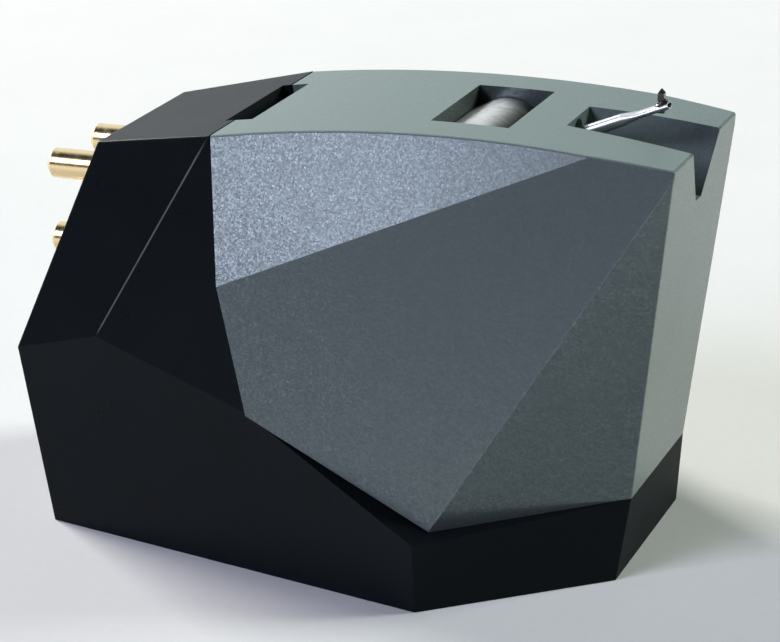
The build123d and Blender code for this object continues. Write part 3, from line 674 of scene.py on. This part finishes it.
class StageSettings(bpy.types.PropertyGroup):
    """Floor, camera, lamps and room"""

    floor: tint("Floor", "Colour of the floor as it is seen", (1.0, 0.965, 0.975))
    floor_bounce: tint("Floor bounce", "Colour of the floor for the light it throws", (0.25, 0.25, 0.27))
    floor_size: size("Floor size", "Side of the floor", 1.6)
    floor_drop: size("Floor drop", "How far the floor is below the mounting face", 0.02 * MM)
    target: spot("Target", "What the camera looks at", (-1.477 * MM, 0.0, 7.728 * MM))
    azimuth: size("Azimuth", "Camera's place round the part, in degrees", 21.683, "NONE")
    elevation: size("Elevation", "Camera's height over the floor, in degrees", 19.466, "NONE")
    roll: size("Roll", "Camera's lean, in degrees", -0.997, "NONE")
    distance: size("Distance", "Camera's distance from its target", 111.926 * MM)
    lens: size("Lens", "Focal length on a 36 mm sensor, in millimetres", 131.88, "NONE")
    key: size("Key", "Power of the lamp behind the tail, in watts", 11.0, "NONE")
    side: size("Side", "Power of the lamp behind the nose, in watts", 6.8, "NONE")
    fill: size("Fill", "Power of the lamp in front of the tail, in watts", 4.4, "NONE")
    glint: size("Glint", "Power of the small lamp beside the camera, in watts", 0.094, "NONE")
    room: size("Room", "Share of the white room that gloss and glass show", 1.0, "NONE")
    room_tint: tint("Room tint", "Colour of the white room", (0.88, 0.93, 0.97))
    room_azimuth: size("Room azimuth", "Where the white room is, round the part, in degrees", 232.0, "NONE")
    room_elevation: size("Room elevation", "How high the white room is, in degrees", 12.0, "NONE")
    world: size("World", "Level of the light from all round", 0.004, "NONE")
    world_tint: tint("World tint", "Colour of the light from all round", (0.75, 0.85, 1.0))


class CARTRIDGE_OT_body(bpy.types.Operator):
    """Finish the black body"""

    bl_idname = "cartridge.body"
    bl_label = "Black body"

    def execute(self, context):
        dress(black_moulding(context.scene.cartridge_body), "cartridge_body")
        return {"FINISHED"}


class CARTRIDGE_OT_housing(bpy.types.Operator):
    """Finish the grey stylus housing"""

    bl_idname = "cartridge.housing"
    bl_label = "Stylus housing"

    def execute(self, context):
        dress(grey_moulding(context.scene.cartridge_housing), "stylus_housing")
        return {"FINISHED"}


class CARTRIDGE_OT_inserts(bpy.types.Operator):
    """Finish the mounting inserts and cut their threads"""

    bl_idname = "cartridge.inserts"
    bl_label = "Mounting inserts"

    def execute(self, context):
        brass = turned_brass(context.scene.cartridge_metal)
        dress(brass, "mount_insert_right", "mount_insert_left", "wire_anchor")
        for name, side in (("right", -1), ("left", 1)):
            points = thread_points(side, context.scene.cartridge_thread)
            grid_piece("insert_thread_" + name, points, "body", brass, (True, True))
        return {"FINISHED"}


class CARTRIDGE_OT_generator(bpy.types.Operator):
    """Finish the screens, poles, yokes, spools and coils"""

    bl_idname = "cartridge.generator"
    bl_label = "Generator"

    def execute(self, context):
        metal = context.scene.cartridge_metal
        dress(screen_metal(metal), "nose_shield", "coil_shield")
        iron = drawn_metal("pole_iron", metal.iron, roughness=0.42, fine=9000)
        dress(iron, "yoke_front", "yoke_rear", *["pole_" + corner for corner in CORNERS])
        copper = wound_copper(metal)
        dress(copper, *[kind + corner for kind in ("winding_", "coil_lead_") for corner in CORNERS])
        spool = context.scene.cartridge_compound.spool
        nylon = matt_compound("spool_nylon", spool, roughness=0.48, specks=5000, swing=0.08, gloss=0.5)
        dress(nylon, *["bobbin_" + corner for corner in CORNERS])
        return {"FINISHED"}


class CARTRIDGE_OT_terminals(bpy.types.Operator):
    """Finish the terminal board and its pins"""

    bl_idname = "cartridge.terminals"
    bl_label = "Terminals"

    def execute(self, context):
        dress(terminal_board(context.scene.cartridge_terminals), "terminal_plate")
        dress(plated_gold(context.scene.cartridge_metal), *["terminal_pin_" + corner for corner in CORNERS])
        return {"FINISHED"}


class CARTRIDGE_OT_stylus(bpy.types.Operator):
    """Finish the stylus arm and its suspension, and set the bead at the tip"""

    bl_idname = "cartridge.stylus"
    bl_label = "Stylus arm"

    def execute(self, context):
        metal, tip = context.scene.cartridge_metal, context.scene.cartridge_tip
        rubber = context.scene.cartridge_compound.rubber
        aluminium = drawn_metal("bright_aluminium", metal.aluminium, roughness=0.33, fine=30000)
        dress(aluminium, "cantilever")
        dress(drawn_metal("drawn_tube", metal.tube, roughness=0.30, fine=24000), "carrier_tube")
        dress(drawn_metal("drawn_wire", metal.steel, roughness=0.28, fine=40000), "tie_wire")
        ground = drawn_metal("ground_magnet", metal.magnet, roughness=0.40, fine=12000, across=(1, 0.3, 0.3))
        dress(ground, "magnet")
        soft = matt_compound("damper_rubber", rubber, roughness=0.72, specks=9000, swing=0.3, gloss=0.3)
        dress(soft, "damper_ring")
        polished = matt_compound(
            "polished_tip", tip.diamond, roughness=0.16, specks=15000, swing=0.35, gloss=0.9)
        dress(polished, "diamond")
        bead = matt_compound(
            "cured_adhesive", tip.adhesive, roughness=0.3, specks=8000, swing=0.3, gloss=0.6)
        grid_piece("tip_adhesive", bead_points(tip), "cantilever_arm", bead, (True, False))
        return {"FINISHED"}


class CARTRIDGE_OT_stage(bpy.types.Operator):
    """Set out the floor, the lamps and the camera"""

    bl_idname = "cartridge.stage"
    bl_label = "Studio"

    def execute(self, context):
        settings = context.scene.cartridge_stage
        self.camera(context, settings)
        self.floor(context, settings)
        self.world(context, settings)
        for name in LAMPS:
            self.lamp(context, settings, name)
        context.scene.view_settings.view_transform = "Standard"
        return {"FINISHED"}

    def lamp(self, context, settings, name):
        """A soft square lamp at its place, facing the camera's target."""
        azimuth, elevation, distance, side, colour = LAMPS[name]
        data = bpy.data.lights.new(name + "_lamp", "AREA")
        data.shape = "RECTANGLE"
        data.size = data.size_y = side
        data.energy = getattr(settings, name)
        data.color = colour
        lamp = bpy.data.objects.new(name + "_lamp", data)
        away = aim(azimuth, elevation)
        lamp.matrix_world = away.to_track_quat("Z", "Y").to_matrix().to_4x4()
        lamp.location = Vector(settings.target) + away * distance
        lamp.visible_camera = False
        context.scene.collection.objects.link(lamp)

    def camera(self, context, settings):
        """A camera on the sphere round its target, leaning by the roll about its own view line."""
        back = aim(settings.azimuth, settings.elevation)
        turn, roll = math.radians(settings.azimuth), math.radians(settings.roll)
        right = Vector((math.cos(turn), math.sin(turn), 0))
        up = back.cross(right)
        across = math.cos(roll) * right + math.sin(roll) * up
        lifted = math.cos(roll) * up - math.sin(roll) * right
        data = bpy.data.cameras.new("camera")
        data.sensor_fit = "HORIZONTAL"
        data.sensor_width = 36.0
        data.lens = settings.lens
        data.clip_start = 1 * MM
        data.clip_end = 10.0
        camera = bpy.data.objects.new("camera", data)
        camera.matrix_world = Matrix((across, lifted, back)).transposed().to_4x4()
        camera.location = Vector(settings.target) + back * settings.distance
        context.scene.collection.objects.link(camera)
        context.scene.camera = camera

    def floor(self, context, settings):
        """The floor sheet, a hair below the mounting face."""
        points = floor_points(settings.floor_size, -settings.floor_drop)
        floor = bpy.data.objects.new("floor", grid_mesh("floor", points, floor_sheet(settings)))
        context.scene.collection.objects.link(floor)

    def world(self, context, settings):
        """Faint light from all round, and a white room where the camera looks past the floor. Gloss and glass
        show that room as well, from the lit side behind the part."""
        world = bpy.data.worlds.new("studio")
        world.use_nodes = True
        tools = Finish.of_tree(world.node_tree)
        way = tools.node("ShaderNodeTexCoord").outputs["Generated"]
        middle = tuple(aim(settings.room_azimuth, settings.room_elevation))
        behind = Value(tools, tools.vector("DOT_PRODUCT", way, middle, output=1)).rise(*ROOM_FADE)
        gloss = tools.ray("Glossy") + tools.ray("Transmission")
        seen = (tools.ray("Camera") + gloss * behind * settings.room).least(1.0)
        faint, white = [
            tools.node("ShaderNodeBackground", None, {"Color": (*colour, 1), "Strength": strength}).outputs[0]
            for colour, strength in ((settings.world_tint, settings.world), (settings.room_tint, 1.0))]
        either = tools.node("ShaderNodeMixShader", None, {0: seen, 1: faint, 2: white})
        tools.feed(world.node_tree.nodes["World Output"].inputs["Surface"], either.outputs[0])
        context.scene.world = world


OPERATORS = (
    CARTRIDGE_OT_body,
    CARTRIDGE_OT_housing,
    CARTRIDGE_OT_inserts,
    CARTRIDGE_OT_generator,
    CARTRIDGE_OT_terminals,
    CARTRIDGE_OT_stylus,
    CARTRIDGE_OT_stage,
)


class CARTRIDGE_PT_pieces(bpy.types.Panel):
    """The cartridge's pieces and studio"""

    bl_label = "Cartridge"
    bl_idname = "CARTRIDGE_PT_pieces"
    bl_space_type = "VIEW_3D"
    bl_region_type = "UI"
    bl_category = "Cartridge"

    def draw(self, context):
        for operator in OPERATORS:
            self.layout.operator(operator.bl_idname)


SETTINGS = {
    "cartridge_body": BodySettings,
    "cartridge_housing": HousingSettings,
    "cartridge_metal": MetalSettings,
    "cartridge_compound": CompoundSettings,
    "cartridge_terminals": TerminalSettings,
    "cartridge_thread": ThreadSettings,
    "cartridge_tip": TipSettings,
    "cartridge_stage": StageSettings,
}


def register():
    for name, group in SETTINGS.items():
        bpy.utils.register_class(group)
        setattr(bpy.types.Scene, name, PointerProperty(type=group))
    for item in (*OPERATORS, CARTRIDGE_PT_pieces):
        bpy.utils.register_class(item)


def unregister():
    for item in (CARTRIDGE_PT_pieces, *reversed(OPERATORS)):
        bpy.utils.unregister_class(item)
    for name, group in reversed(SETTINGS.items()):
        delattr(bpy.types.Scene, name)
        bpy.utils.unregister_class(group)


def main():
    register()
    for operator in OPERATORS:
        group, name = operator.bl_idname.split(".")
        getattr(getattr(bpy.ops, group), name)()


if __name__ == "__main__":
    main()
